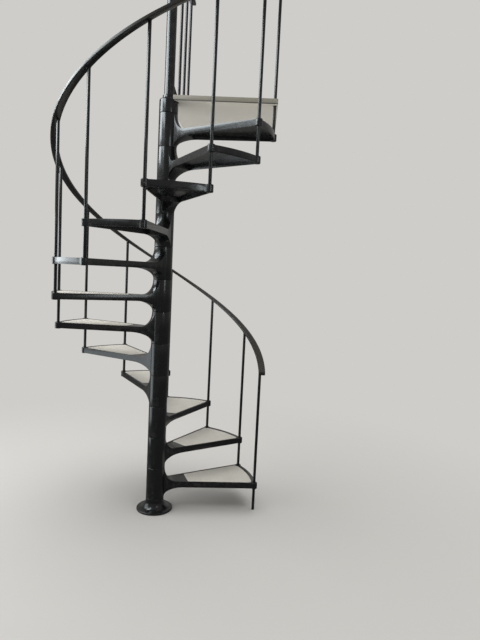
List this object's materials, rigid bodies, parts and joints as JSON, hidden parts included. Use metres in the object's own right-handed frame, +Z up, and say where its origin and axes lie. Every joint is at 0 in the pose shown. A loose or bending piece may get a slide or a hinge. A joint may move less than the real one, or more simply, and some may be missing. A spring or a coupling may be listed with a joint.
{
  "type": "spiral staircase",
  "caption": "Black spiral staircase of cast treads with pale inlays stacked on a pole, with round balusters, a helical handrail and a pale corner landing with a guard.",
  "frame": {"origin": "centre of the base flange's underside, on the column's axis at the floor", "axes": "+Z up along the column, +X along the landing's front edge, +Y from that edge towards the back of the landing; the stair climbs anticlockwise about +Z"},
  "size_m": [1.4108, 1.4108, 3.668],
  "materials": {
    "black_paint": "gloss",
    "rail_black": "gloss",
    "inlay": "satin",
    "board": "painted"
  },
  "bodies": {
    "root": {"base_flange": "black_paint", "center_pole": "black_paint", "pole_cap": "black_paint", "top_sleeve": "black_paint", "tread_01": "black_paint", "tread_02": "black_paint", "tread_03": "black_paint", "tread_04": "black_paint", "tread_05": "black_paint", "tread_06": "black_paint", "tread_07": "black_paint", "tread_08": "black_paint", "tread_09": "black_paint", "tread_10": "black_paint", "tread_11": "black_paint", "tread_12": "black_paint", "tread_inlay_01": "inlay", "tread_inlay_02": "inlay", "tread_inlay_03": "inlay", "tread_inlay_04": "inlay", "tread_inlay_05": "inlay", "tread_inlay_06": "inlay", "tread_inlay_07": "inlay", "tread_inlay_08": "inlay", "tread_inlay_09": "inlay", "tread_inlay_10": "inlay", "tread_inlay_11": "inlay", "tread_inlay_12": "inlay", "baluster_01": "black_paint", "baluster_02": "black_paint", "baluster_03": "black_paint", "baluster_04": "black_paint", "baluster_05": "black_paint", "baluster_06": "black_paint", "baluster_07": "black_paint", "baluster_08": "black_paint", "baluster_09": "black_paint", "baluster_10": "black_paint", "baluster_11": "black_paint", "baluster_12": "black_paint", "baluster_13": "black_paint", "handrail": "rail_black", "landing_board": "board", "landing_bracket": "black_paint", "landing_guard": "black_paint"}
  },
  "joints": []
}
